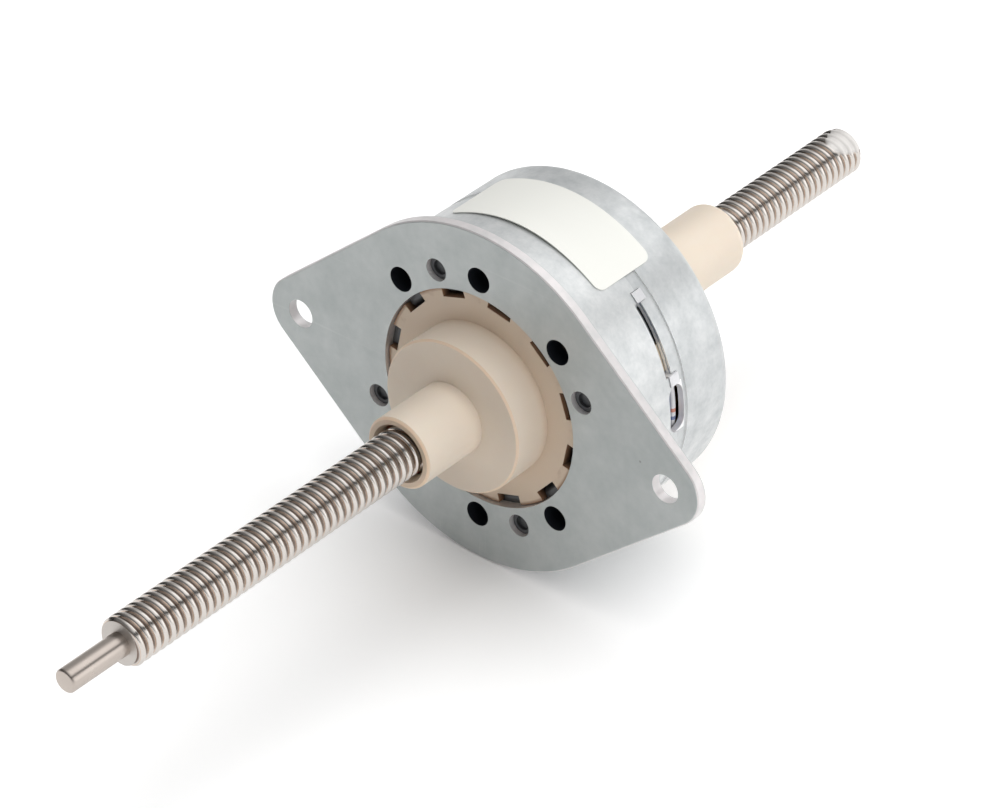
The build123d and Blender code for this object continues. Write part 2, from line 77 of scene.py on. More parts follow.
class Graph:
    """Adds nodes to one tree and links them by socket name."""

    def __init__(self, tree: bpy.types.NodeTree) -> None:
        """Takes the node tree that is filled."""
        self.tree = tree

    def add(self, kind: str, settings: dict | None = None, **inputs: object) -> bpy.types.Node:
        """Adds one node.

        Args:
            kind: Blender's type name of the node.
            settings: Properties of the node itself.
            inputs: Value or source socket for each input, with underscores for spaces.

        Returns:
            The new node.
        """
        node = self.tree.nodes.new(kind)
        for name, value in (settings or {}).items():
            setattr(node, name, value)
        return self.fill(node, **inputs)

    def fill(self, node: bpy.types.Node, **inputs: object) -> bpy.types.Node:
        """Feeds named inputs of a node, with underscores for spaces, and gives the node back."""
        for name, value in inputs.items():
            self.feed(node.inputs[name.replace("_", " ")], value)
        return node

    def feed(self, socket: Socket, value: object) -> None:
        """Links a source socket, or sets a plain value, on one input."""
        if isinstance(value, Socket):
            self.tree.links.new(value, socket)
        else:
            socket.default_value = value

    def math(self, operation: str, *values: object, clamp: bool = False) -> Socket:
        """Adds a math node.

        Args:
            operation: Blender's name of the operation.
            values: Numbers or sockets, in order.
            clamp: Whether the result stays between 0 and 1.

        Returns:
            The result's socket.
        """
        node = self.add("ShaderNodeMath", {"operation": operation, "use_clamp": clamp})
        for socket, value in zip(node.inputs, values):
            self.feed(socket, value)
        return node.outputs[0]

    def times(self, first: object, second: object) -> Socket:
        """Product of two values."""
        return self.math("MULTIPLY", first, second)

    def plus(self, first: object, second: object) -> Socket:
        """Sum of two values."""
        return self.math("ADD", first, second)

    def minus(self, first: object, second: object) -> Socket:
        """Difference of two values."""
        return self.math("SUBTRACT", first, second)

    def near(self, value: object, target: float, margin: float) -> Socket:
        """One where a value lies within a margin of its target, and zero elsewhere."""
        return self.math("COMPARE", value, target, margin)

    def length(self, first: object, second: object) -> Socket:
        """Length of a step in a plane, from its two parts."""
        return self.math("SQRT", self.plus(self.times(first, first), self.times(second, second)))

    def split(self, place: object) -> tuple[Socket, ...]:
        """Splits a place into x, y and z."""
        return tuple(self.add("ShaderNodeSeparateXYZ", Vector=place).outputs)

    def noise(self, place: object, scale: object, detail: float, **more: object) -> Socket:
        """Value of a noise pattern."""
        return self.add("ShaderNodeTexNoise", Vector=place, Scale=scale, Detail=detail, **more).outputs[0]

    def remap(self, value: object, low: float, high: float, to_low: float = 0.0, to_high: float = 1.0,
              smooth: bool = False) -> Socket:
        """Maps a value from one range to another and clamps it.

        Args:
            value: The source socket.
            low: Start of the source range.
            high: End of the source range.
            to_low: Result at the start.
            to_high: Result at the end.
            smooth: Whether the change eases in and out.

        Returns:
            The result's socket.
        """
        ease = "SMOOTHSTEP" if smooth else "LINEAR"
        node = self.add("ShaderNodeMapRange", {"interpolation_type": ease})
        for socket, number in zip(node.inputs, (value, low, high, to_low, to_high)):
            self.feed(socket, number)
        return node.outputs[0]

    def mix(self, factor: object, first: object, second: object) -> Socket:
        """Mixes two colours by a factor."""
        node = self.add("ShaderNodeMix", {"data_type": "RGBA"})
        for number, value in ((0, factor), (6, as_colour(first)), (7, as_colour(second))):
            self.feed(node.inputs[number], value)
        return node.outputs[2]


def as_colour(value: object) -> object:
    """Gives three numbers an alpha of one, and leaves a socket as it is."""
    return (*value, 1.0) if isinstance(value, tuple) and len(value) == 3 else value


def dimmed(colour: Colour, share: float) -> Colour:
    """Darkens a colour to a share of itself."""
    return tuple(share * part for part in colour)


# Patterns that several finishes share


@dataclass(frozen=True)
class Pattern:
    """Shader node group, built once. Each kind draws its outputs in its own method."""

    name: str
    inputs: tuple[tuple[str, float], ...]
    outputs: tuple[str, ...]

    def tree(self) -> bpy.types.NodeTree:
        """Builds the group once, or gives the one that was built.

        Returns:
            The group's tree.
        """
        if self.name in bpy.data.node_groups:
            return bpy.data.node_groups[self.name]
        tree = bpy.data.node_groups.new(self.name, "ShaderNodeTree")
        tree.interface.new_socket("Vector", in_out="INPUT", socket_type="NodeSocketVector")
        for name, default in self.inputs:
            socket = tree.interface.new_socket(name, in_out="INPUT", socket_type="NodeSocketFloat")
            socket.default_value = default
        for name in self.outputs:
            tree.interface.new_socket(name, in_out="OUTPUT", socket_type="NodeSocketFloat")
        graph = Graph(tree)
        results = self.draw(graph, graph.add("NodeGroupInput").outputs)
        for socket, result in zip(graph.add("NodeGroupOutput").inputs, results):
            graph.feed(socket, result)
        return tree

    def draw(self, graph: Graph, enter: bpy.types.NodeOutputs) -> tuple[Socket, ...]:
        """Draws the pattern.

        Args:
            graph: The group's tree.
            enter: The group's inputs, by name.

        Returns:
            One socket for each of the group's outputs.
        """
        raise NotImplementedError


@dataclass(frozen=True)
class Mottling(Pattern):
    """Cloudy patches in two sizes, as on plated or moulded surfaces."""

    finer: float = 4.3
    large_share: float = 0.65
    small_share: float = 0.35

    def draw(self, graph: Graph, enter: bpy.types.NodeOutputs) -> tuple[Socket, ...]:
        """Adds two noises, and spreads them about a middle value.

        Args:
            graph: The group's tree.
            enter: The group's inputs, by name.

        Returns:
            The mask's socket.
        """
        large = graph.noise(enter["Vector"], enter["Scale"], 3.0, Roughness=0.55)
        small = graph.noise(enter["Vector"], graph.times(enter["Scale"], self.finer), 4.0, Roughness=0.6)
        both = graph.plus(graph.times(large, self.large_share), graph.times(small, self.small_share))
        centred = graph.times(graph.minus(both, 0.5), enter["Contrast"])
        return (graph.math("ADD", centred, 0.5, clamp=True),)


@dataclass(frozen=True)
class Grain(Pattern):
    """Fine height pattern of a rolled, plated or moulded skin."""

    coarser: float = 0.3
    pit_reach: float = 0.25

    def draw(self, graph: Graph, enter: bpy.types.NodeOutputs) -> tuple[Socket, ...]:
        """Takes pits out of a fine noise.

        Args:
            graph: The group's tree.
            enter: The group's inputs, by name.

        Returns:
            The height's socket.
        """
        skin = graph.noise(enter["Vector"], enter["Scale"], 5.0, Roughness=0.65)
        coarse = graph.times(enter["Scale"], self.coarser)
        cells = graph.add("ShaderNodeTexVoronoi", Vector=enter["Vector"], Scale=coarse)
        pits = graph.remap(cells.outputs["Distance"], 0.0, self.pit_reach, 1.0, 0.0)
        return (graph.minus(skin, graph.times(pits, enter["Pits"])),)


@dataclass(frozen=True)
class Scratches(Pattern):
    """Sparse thin lines in two directions, and a few specks."""

    directions: tuple[tuple[float, Triple], ...] = ((0.6, (900.0, 900.0, 40.0)), (-1.1, (35.0, 700.0, 900.0)))
    line_range: tuple[float, float] = (0.71, 0.76)
    speck_range: tuple[float, float] = (0.05, 0.09)
    rare_range: tuple[float, float] = (0.62, 0.68)

    def draw(self, graph: Graph, enter: bpy.types.NodeOutputs) -> tuple[Socket, ...]:
        """Draws stretched noises as lines, and the rare cells' middles as specks.

        Args:
            graph: The group's tree.
            enter: The group's inputs, by name.

        Returns:
            The sockets of the lines and the specks.
        """
        hairs = []
        for turn, stretch in self.directions:
            place = graph.add("ShaderNodeMapping", Vector=enter["Vector"], Rotation=(turn, turn, turn),
                              Scale=stretch)
            hairs.append(graph.remap(graph.noise(place.outputs[0], 1.0, 2.0), *self.line_range))
        lines = graph.math("MAXIMUM", *hairs)
        dots = graph.add("ShaderNodeTexVoronoi", Vector=enter["Vector"], Scale=420.0, Randomness=1.0)
        dot = graph.remap(dots.outputs["Distance"], *self.speck_range, 1.0, 0.0)
        rare = graph.remap(graph.noise(enter["Vector"], 55.0, 1.0), *self.rare_range)
        specks = graph.times(dot, rare)
        return graph.times(lines, enter["Amount"]), graph.times(specks, enter["Amount"])


MOTTLING = Mottling("soft_mottling", (("Scale", 200.0), ("Contrast", 1.0)), ("Mask",))
GRAIN = Grain("fine_grain", (("Scale", 3000.0), ("Pits", 0.3)), ("Height",))
SCRATCHES = Scratches("hair_scratches", (("Amount", 1.0),), ("Lines", "Specks"))


# Places where a surface differs from its finish, with its own colours and with painted shade and light


@dataclass(frozen=True)
class Overlay:
    """Places that get colours of their own. Each kind lays them in its own method."""

    def over(self, graph: Graph, place: object, tone: object) -> Socket:
        """Lays its colours over a surface.

        Args:
            graph: The material's tree.
            place: Object coordinates.
            tone: The surface's colour.

        Returns:
            The colour's socket.
        """
        raise NotImplementedError


@dataclass(frozen=True)
class SheetEdge(Overlay):
    """Cut edge of the plate, between its two faces: paler and warmer than the plating, partly as bare cut
    steel and partly as a painted edge highlight.
    """

    front: float = 0.06 * MM
    rear: float = 1.34 * MM
    colour: Colour = (0.80, 0.765, 0.765)
    least_share: float = 0.7

    def over(self, graph: Graph, place: object, tone: object) -> Socket:
        """Lays the edge's colour, part cut steel and part painted highlight, over the plating, a little
        thinner in patches.

        Args:
            graph: The material's tree.
            place: Object coordinates.
            tone: The plating's colour.

        Returns:
            The colour's socket.
        """
        y = graph.split(place)[1]
        between = graph.times(graph.math("GREATER_THAN", y, self.front),
                              graph.math("LESS_THAN", y, self.rear))
        share = graph.remap(graph.noise(place, 700.0, 2.0), 0.3, 0.6, self.least_share, 1.0)
        # Painted edge highlight over the cut steel's own paler colour.
        return graph.mix(graph.times(between, share), tone, self.colour)


@dataclass(frozen=True)
class VentWalls(Overlay):
    """Walls of the round vent holes, which lie every eighth of a turn: cut, unplated steel, painted nearly
    black as painted shade inside the holes.
    """

    circle: float = 16.8 * MM
    half_step: float = math.pi / 8
    hole: float = 1.6 * MM
    band: float = 0.13 * MM
    front_face: float = 0.05 * MM
    dark: Colour = (0.022, 0.026, 0.034)

    def over(self, graph: Graph, place: object, tone: object) -> Socket:
        """Paints the walls behind the front face nearly black, as painted shade.

        Args:
            graph: The material's tree.
            place: Object coordinates.
            tone: The plating's colour.

        Returns:
            The colour's socket.
        """
        x, y, z = graph.split(place)
        radius = graph.length(x, z)
        turn = graph.math("WRAP", graph.math("ARCTAN2", z, x), self.half_step, -self.half_step)
        along = graph.minus(graph.times(radius, graph.math("COSINE", turn)), self.circle)
        across = graph.times(radius, graph.math("SINE", turn))
        wall = graph.near(graph.length(along, across), self.hole, self.band)
        inside = graph.math("GREATER_THAN", y, self.front_face)
        # Painted shade: the vent walls behind the front face turn nearly black.
        return graph.mix(graph.times(wall, inside), tone, self.dark)


@dataclass(frozen=True)
class PaintedShadeLightAndBareSteel(Overlay):
    """Colours on the cups: claw roots and rivet bosses painted dark as painted shade in their recesses, the
    cut rim at the seam pale and striped as bare steel, and the oval opening's walls and the neck step painted
    pale as painted light.
    """

    root_radius: float = 15.0 * MM
    root_fade: float = 0.5 * MM
    boss_face: float = 1.38 * MM
    boss_fade: float = 0.05 * MM
    bore: float = 19.9 * MM
    skin: float = 20.97 * MM
    neck: float = 13.35 * MM
    flat: float = 0.01 * MM
    slot_angle: float = math.radians(5.2)
    slot_length: float = 6.6 * MM
    slot_width: float = 2.86 * MM
    wander: float = 0.35 * MM
    band_rate: float = 11000.0
    dark: Colour = (0.10, 0.104, 0.11)
    bare_and_painted_light: Colour = (0.95, 0.95, 0.95)
    stripe: Colour = (0.40, 0.46, 0.56)

    def over(self, graph: Graph, place: object, tone: object) -> Socket:
        """Darkens roots and bosses as painted shade, lays a pale colour on the rim as bare steel and on the
        oval's walls and the neck step as painted light, striped on the rim.

        Args:
            graph: The material's tree.
            place: Object coordinates.
            tone: The plating's colour.

        Returns:
            The colour's socket.
        """
        x, y, z = graph.split(place)
        radius = graph.length(x, z)
        # Painted shade: claw roots inside the bore and the recessed rivet bosses turn dark.
        root = graph.remap(radius, self.root_radius, self.root_radius - self.root_fade, smooth=True)
        boss = graph.remap(y, self.boss_face, self.boss_face - self.boss_fade)
        tone = graph.mix(graph.math("MAXIMUM", root, boss), tone, self.dark)
        rim = graph.times(graph.near(y, SEAM, self.flat), graph.math("GREATER_THAN", radius, self.bore))
        torn = graph.times(graph.noise(place, 1800.0, 2.0), self.wander)
        bands = graph.math("SINE", graph.times(graph.plus(radius, torn), self.band_rate))
        off = graph.minus(graph.math("ARCTAN2", z, x), self.slot_angle)
        slot = graph.near(graph.times(off, radius), 0.0, self.slot_length / 2)
        slot = graph.times(slot, graph.near(y, SEAM, self.slot_width / 2))
        slot = graph.times(slot, graph.math("LESS_THAN", radius, self.skin))
        # Pale colour: bare steel on the rim, painted light on the oval's walls and the neck step.
        pale = graph.math("MAXIMUM", graph.math("MAXIMUM", rim, slot), graph.near(y, self.neck, self.flat))
        tone = graph.mix(pale, tone, self.bare_and_painted_light)
        return graph.mix(graph.times(graph.remap(bands, 0.1, 0.7), rim), tone, self.stripe)


@dataclass(frozen=True)
class HousingPaintedShadeAndHighlight(Overlay):
    """Painted shade on the housings: brown to black in the notches of their rims, warm on the ring and in the
    front sleeve's mouth, brown at the ring's outer edge against the plate, partly as varnish in that crevice;
    and a painted peach highlight on the rims of the boss and the mouth.
    """

    rim_radius: float = 12.94 * MM
    front_face: float = 0.6 * MM
    rear_face: float = 22.3 * MM
    shade_edge_wander: float = 0.12 * MM
    fade: float = 0.05 * MM
    edge: float = 1.3 * MM
    warm_reach: float = 1.2 * MM
    ring_inside: float = 10.2 * MM
    ring_edge: float = 13.85 * MM
    ring_fade: float = 0.4 * MM
    plate_rear: float = 1.4 * MM
    boss_rim: float = 9.98 * MM
    boss_end: float = -4.78 * MM
    mouth_rim: float = 4.55 * MM
    nose: float = -14.35 * MM
    funnel_end: float = -13.4 * MM
    highlight_radius: float = 0.13 * MM
    highlight_length: float = 0.14 * MM
    tan: Colour = (0.80, 0.62, 0.46)
    tan_share: float = 0.85
    brown: Colour = (0.38, 0.22, 0.13)
    warm: Colour = (0.76, 0.61, 0.47)
    warm_share: float = 0.8
    peach: Colour = (0.86, 0.62, 0.43)
    peach_share: float = 0.6
    black: Colour = (0.035, 0.022, 0.016)

    def over(self, graph: Graph, place: object, tone: object) -> Socket:
        """Lays the painted shade over the plastic, brown at the notch's mouth and black further in, with the
        painted highlights on the rims.

        Args:
            graph: The material's tree.
            place: Object coordinates.
            tone: The plastic's colour.

        Returns:
            The colour's socket.
        """
        x, y, z = graph.split(place)
        radius = graph.length(x, z)
        depth = graph.math("MINIMUM", graph.minus(y, self.front_face), graph.minus(self.rear_face, y))
        outside = graph.math("GREATER_THAN", radius, self.rim_radius)
        # Painted shade in the notches: brown near their mouth, black further in.
        sunk = graph.plus(depth, graph.times(graph.noise(place, 900.0, 2.0), -self.shade_edge_wander))
        notch_shade = graph.times(graph.remap(sunk, -self.fade, self.fade), outside)
        deep = graph.remap(sunk, self.fade, self.edge)
        # Painted warm shade on the ring between the boss and the plate.
        near_coil = graph.times(graph.remap(depth, -self.warm_reach, 0.0),
                                graph.remap(radius, self.ring_inside - self.ring_fade, self.ring_inside))
        tone = graph.mix(graph.times(near_coil, self.warm_share), tone, self.warm)
        # Painted shade, partly varnish, along the ring's outer edge in front of the plate.
        edge = graph.remap(radius, self.ring_edge, self.ring_edge + self.ring_fade)
        tone = graph.mix(graph.times(edge, graph.math("LESS_THAN", y, self.plate_rear)), tone, self.brown)
        # Painted warm shade on the front sleeve's mouth and funnel.
        mouth = graph.times(graph.math("LESS_THAN", radius, self.mouth_rim),
                            graph.math("LESS_THAN", y, self.funnel_end))
        tone = graph.mix(graph.times(mouth, self.tan_share), tone, self.tan)
        # Painted peach highlight on the rims of the boss and the mouth.
        for rim, end in ((self.boss_rim, self.boss_end), (self.mouth_rim, self.nose)):
            close = graph.times(graph.near(radius, rim, self.highlight_radius),
                                graph.near(y, end, self.highlight_length))
            tone = graph.mix(graph.times(close, self.peach_share), tone, self.peach)
        return graph.mix(notch_shade, tone, graph.mix(deep, self.brown, self.black))


@dataclass(frozen=True)
class StakedEnd:
    """Where the thread is flattened at the rear end, so that the screw can't run out of its nut."""

    length: float = 4.7 * MM
    angle: float = math.radians(68.0)
    half_width: float = math.radians(46.0)
    edge: tuple[float, float] = (1.08, 0.88)
    colour: Colour = (0.76, 0.735, 0.71)
    height: float = 0.78

    def mask(self, graph: Graph, x: object, y: object, z: object) -> Socket:
        """One inside the flattened patch and zero elsewhere.

        Args:
            graph: The tree that it is added to, of either kind.
            x: Place across.
            y: Place along the screw.
            z: Place upwards.

        Returns:
            The mask's socket.
        """
        radius = graph.length(x, z)
        across = graph.times(x, math.cos(self.angle))
        toward = graph.plus(across, graph.times(z, math.sin(self.angle)))
        facing = graph.math("DIVIDE", toward, graph.math("MAXIMUM", radius, 1e-6))
        side = graph.math("DIVIDE", graph.minus(1.0, facing), 1 - math.cos(self.half_width))
        along = graph.math("DIVIDE", graph.minus(SCREW_REAR, y), self.length)
        return graph.remap(graph.plus(side, graph.times(along, along)), *self.edge, smooth=True)


# Finishes


@dataclass(frozen=True)
class Skin:
    """Fine relief of a surface: scale and pits of the shared grain, share of the effect and real depth."""

    scale: float
    pits: float
    share: float
    depth: float


@dataclass(frozen=True)
class Finish:
    """A surface finish. Each kind fills the material's tree in its own dress method."""

    name: str

    def material(self) -> bpy.types.Material:
        """Builds the material once, or gives the one that was built.

        Returns:
            The material.
        """
        if self.name in bpy.data.materials:
            return bpy.data.materials[self.name]
        material = bpy.data.materials.new(self.name)
        material.use_nodes = True
        graph = Graph(material.node_tree)
        shader = material.node_tree.nodes["Principled BSDF"]
        self.dress(graph, shader, graph.add("ShaderNodeTexCoord").outputs["Object"])
        return material

    def dress(self, graph: Graph, shader: bpy.types.Node, place: Socket) -> None:
        """Fills the material's tree.

        Args:
            graph: The material's tree.
            shader: Its Principled shader.
            place: Object coordinates.
        """
        raise NotImplementedError

    def use(self, graph: Graph, pattern: Pattern, place: Socket, **values: float) -> bpy.types.NodeOutputs:
        """Places one shared pattern in the material.

        Args:
            graph: The material's tree.
            pattern: The shared pattern.
            place: Coordinates for it.
            values: Its other inputs.

        Returns:
            The pattern's outputs.
        """
        node = graph.add("ShaderNodeGroup", {"node_tree": pattern.tree()})
        return graph.fill(node, Vector=place, **values).outputs

    def clouds(self, graph: Graph, shader: bpy.types.Node, place: Socket, scale: float, contrast: float,
               rough: tuple[float, float]) -> Socket:
        """Mottles the roughness, and gives the same clouds for the colour.

        Args:
            graph: The material's tree.
            shader: Its Principled shader.
            place: Object coordinates.
            scale: Scale of the clouds.
            contrast: Their contrast.
            rough: Roughness where the clouds are dark and where they are light.

        Returns:
            The clouds' socket.
        """
        clouds = self.use(graph, MOTTLING, place, Scale=scale, Contrast=contrast)[0]
        graph.fill(shader, Roughness=graph.remap(clouds, 0.0, 1.0, *rough))
        return clouds

    def bump(self, graph: Graph, shader: bpy.types.Node, height: object, share: float, depth: float) -> None:
        """Feeds a height pattern to the shader's normal.

        Args:
            graph: The material's tree.
            shader: Its Principled shader.
            height: The height pattern's socket.
            share: Share of the effect.
            depth: Real depth of the pattern, in metres.
        """
        node = graph.add("ShaderNodeBump", Height=height, Strength=share, Distance=depth)
        graph.fill(shader, Normal=node.outputs[0])

    def relief(self, graph: Graph, shader: bpy.types.Node, place: Socket, skin: Skin) -> None:
        """Gives the surface the shared grain as fine relief."""
        grain = self.use(graph, GRAIN, place, Scale=skin.scale, Pits=skin.pits)[0]
        self.bump(graph, shader, grain, skin.share, skin.depth)


@dataclass(frozen=True)
class PlatedSteel(Finish):
    """Dull zinc plating on rolled sheet: cloudy grey with faint lines and specks."""

    shade: Colour
    light: Colour
    cloud_scale: float
    contrast: float = 2.4
    rough: tuple[float, float] = (0.50, 0.37)
    metal: float = 0.35
    worn: float = 1.0
    line_share: float = 0.16
    line_colour: Colour = (0.78, 0.79, 0.78)
    speck_share: float = 0.7
    speck_colour: Colour = (0.12, 0.12, 0.11)
    skin: Skin = Skin(2600.0, 0.25, 0.25, 0.04 * MM)
    overlays: tuple[Overlay, ...] = ()

    def dress(self, graph: Graph, shader: bpy.types.Node, place: Socket) -> None:
        """Clouds in colour and roughness, lines and specks in colour, and a rolled skin."""
        clouds = self.clouds(graph, shader, place, self.cloud_scale, self.contrast, self.rough)
        lines, specks = self.use(graph, SCRATCHES, place, Amount=self.worn)
        tone = graph.mix(clouds, self.shade, self.light)
        tone = graph.mix(graph.times(lines, self.line_share), tone, self.line_colour)
        tone = graph.mix(graph.times(specks, self.speck_share), tone, self.speck_colour)
        for overlay in self.overlays:
            tone = overlay.over(graph, place, tone)
        graph.fill(shader, Base_Color=tone, Metallic=self.metal)
        self.relief(graph, shader, place, self.skin)


@dataclass(frozen=True)
class MouldedPlastic(Finish):
    """Satin moulded plastic with faint flow marks."""

    colour: Colour
    shade: Colour
    rough: tuple[float, float] = (0.51, 0.42)
    scatter: float = 0.0
    scatter_reach: Triple = (1.4 * MM, 0.8 * MM, 0.5 * MM)
    gloss: float = 0.5
    cloud_scale: float = 90.0
    contrast: float = 1.3
    skin: Skin = Skin(4200.0, 0.15, 0.18, 0.03 * MM)
    overlays: tuple[Overlay, ...] = ()

    def dress(self, graph: Graph, shader: bpy.types.Node, place: Socket) -> None:
        """Slow flow marks in colour, and a fine spark-eroded skin."""
        clouds = self.clouds(graph, shader, place, self.cloud_scale, self.contrast, self.rough)
        tone = graph.mix(clouds, self.shade, self.colour)
        for overlay in self.overlays:
            tone = overlay.over(graph, place, tone)
        graph.fill(shader, Base_Color=tone, Specular_IOR_Level=self.gloss, Subsurface_Weight=self.scatter,
                   Subsurface_Radius=self.scatter_reach, Subsurface_Scale=1.0)
        self.relief(graph, shader, place, self.skin)


@dataclass(frozen=True)
class ThreadSteel(Finish):
    """Stainless steel of the screw: bright crests, roots darkened towards brown as painted shade, a painted
    orange-brown reflection line on the flanks, and a pale staked end.
    """

    colour: Colour
    root_colour: Colour = (0.18, 0.13, 0.105)
    line_colour: Colour = (0.58, 0.42, 0.31)
    reflection_line_half: float = 0.03 * MM
    reflection_line_radius: float = 2.86 * MM
    root_radius: float = 2.55 * MM
    root_shade_radius: float = 2.84 * MM
    end_depth: float = 0.02 * MM
    crest_share: float = 0.86
    end_share: float = 0.8
    roughness: float = 0.2
    root_rougher: float = 0.14
    end_rougher: float = 0.25
    stake_rougher: float = 0.3
    stake_metal: float = 0.25
    stake: StakedEnd = StakedEnd()
    drawn_out: Triple = (1.0, 12.0, 1.0)
    skin: Skin = Skin(2500.0, 0.1, 0.15, 0.02 * MM)

    def dress(self, graph: Graph, shader: bpy.types.Node, place: Socket) -> None:
        """Darkens the metal from crest to root as painted shade, paints a reflection line on the flanks, and
        whitens the staked patch.
        """
        x, y, z = graph.split(place)
        radius = graph.length(x, z)
        # Painted shade: the metal darkens from crest to root.
        crest = graph.remap(radius, self.root_radius, self.root_shade_radius, smooth=True)
        ends = graph.math("MAXIMUM", graph.math("LESS_THAN", y, SCREW_FRONT + self.end_depth),
                          graph.math("GREATER_THAN", y, SCREW_REAR - self.end_depth))
        crest = graph.math("MAXIMUM", crest, ends)
        clouds = self.use(graph, MOTTLING, place, Scale=500.0, Contrast=1.2)[0]
        bright = graph.mix(clouds, dimmed(self.colour, self.crest_share), self.colour)
        tone = graph.mix(crest, self.root_colour, bright)
        # Painted reflection: an orange-brown line round the flanks.
        tone = graph.mix(graph.near(radius, self.reflection_line_radius, self.reflection_line_half), tone, self.line_colour)
        tone = graph.mix(ends, tone, dimmed(self.colour, self.end_share))
        shine = graph.remap(crest, 0.0, 1.0, self.roughness + self.root_rougher, self.roughness)
        shine = graph.plus(shine, graph.times(ends, self.end_rougher))
        patch = self.stake.mask(graph, x, y, z)
        graph.fill(shader, Base_Color=graph.mix(patch, tone, self.stake.colour),
                   Roughness=graph.plus(shine, graph.times(patch, self.stake_rougher)),
                   Metallic=graph.remap(patch, 0.0, 1.0, 1.0, self.stake_metal))
        drawn = graph.add("ShaderNodeMapping", Vector=place, Scale=self.drawn_out)
        self.relief(graph, shader, drawn.outputs[0], self.skin)


@dataclass(frozen=True)
class GroundSteel(Finish):
    """Ground or turned steel, with fine rings round the screw's axis."""

    colour: Colour
    rough: tuple[float, float]
    dark_share: float = 0.84
    ring_scale: float = 1500.0
    ring_share: float = 0.12
    ring_depth: float = 0.005 * MM

    def dress(self, graph: Graph, shader: bpy.types.Node, place: Socket) -> None:
        """Fine turned rings in height, and faint clouds in colour."""
        clouds = self.clouds(graph, shader, place, 400.0, 1.0, self.rough)
        tone = graph.mix(clouds, dimmed(self.colour, self.dark_share), self.colour)
        graph.fill(shader, Base_Color=tone, Metallic=1.0)
        rings = graph.add("ShaderNodeTexWave", {"wave_type": "BANDS", "bands_direction": "Y"},
                          Vector=place, Scale=self.ring_scale, Distortion=0.6, Detail=1.0)
        self.bump(graph, shader, rings.outputs["Fac"], self.ring_share, self.ring_depth)


@dataclass(frozen=True)
class WoundWire(Finish):
    """Enamelled wire, laid turn by turn round the spool."""

    colour: Colour
    rough: tuple[float, float] = (0.38, 0.26)
    metal: float = 0.9
    wire_pitch: float = 0.22 * MM
    gap_share: float = 0.25
    wire_share: float = 0.6
    wire_depth: float = 0.08 * MM

    def dress(self, graph: Graph, shader: bpy.types.Node, place: Socket) -> None:
        """Turns as bands along the screw's axis, with the gaps between them darkened as painted shade."""
        y = graph.split(place)[1]
        swing = graph.math("SINE", graph.times(y, 2 * math.pi / self.wire_pitch))
        turn = graph.remap(swing, -1.0, 1.0)
        # Painted shade in the gaps between the turns.
        tone = graph.mix(turn, dimmed(self.colour, self.gap_share), self.colour)
        graph.fill(shader, Base_Color=tone, Metallic=self.metal)
        self.clouds(graph, shader, place, 300.0, 1.2, self.rough)
        self.bump(graph, shader, turn, self.wire_share, self.wire_depth)


@dataclass(frozen=True)
class LeadInsulation(Finish):
    """Insulation of the leads: one colour for each lead, by its place along the screw."""

    front: Colour
    middle: Colour = (0.10, 0.14, 0.26)
    rear: Colour = (0.80, 0.80, 0.82)
    marks: tuple[tuple[float, Colour], ...] = ((0.037, (0.62, 0.22, 0.15)), (-0.019, (0.12, 0.18, 0.38)))
    mark_half: float = 0.013
    pitch: float = 0.95 * MM
    scuff: Colour = (0.5, 0.48, 0.46)
    scuff_share: float = 0.3
    rough: tuple[float, float] = (0.36, 0.26)
    skin: Skin = Skin(5000.0, 0.1, 0.15, 0.02 * MM)

    def dress(self, graph: Graph, shader: bpy.types.Node, place: Socket) -> None:
        """Picks the colour by position, with scuffs."""
        x, y, z = graph.split(place)
        past_front = graph.math("GREATER_THAN", y, SEAM - self.pitch / 2)
        past_middle = graph.math("GREATER_THAN", y, SEAM + self.pitch / 2)
        rear = self.rear
        turn = graph.math("ARCTAN2", z, x)
        for angle, colour in self.marks:
            rear = graph.mix(graph.near(turn, angle, self.mark_half), rear, colour)
        tone = graph.mix(past_middle, graph.mix(past_front, self.front, self.middle), rear)
        clouds = self.clouds(graph, shader, place, 900.0, 1.6, self.rough)
        graph.fill(shader, Base_Color=graph.mix(graph.times(clouds, self.scuff_share), tone, self.scuff))
        self.relief(graph, shader, place, self.skin)


@dataclass(frozen=True)
class LabelFilm(Finish):
    """Blank matt label stock, with a faint fibre and slightly yellowed patches."""

    colour: Colour
    shade: Colour = (0.86, 0.865, 0.80)
    rough: tuple[float, float] = (0.62, 0.5)
    skin: Skin = Skin(3600.0, 0.0, 0.2, 0.03 * MM)

    def dress(self, graph: Graph, shader: bpy.types.Node, place: Socket) -> None:
        """Faint clouds in colour and a paper grain in height."""
        clouds = self.clouds(graph, shader, place, 260.0, 1.0, self.rough)
        graph.fill(shader, Base_Color=graph.mix(clouds, self.shade, self.colour))
        self.relief(graph, shader, place, self.skin)


ZINC_PLATE = PlatedSteel("zinc_plate", (0.47, 0.51, 0.505), (0.585, 0.61, 0.605), 200.0,
                         overlays=(SheetEdge(), VentWalls()))
ZINC_CAN = PlatedSteel("zinc_can", (0.58, 0.60, 0.605), (0.74, 0.75, 0.75), 420.0, 3.0, (0.46, 0.33),
                       metal=0.40, worn=0.5, overlays=(PaintedShadeLightAndBareSteel(), VentWalls()))
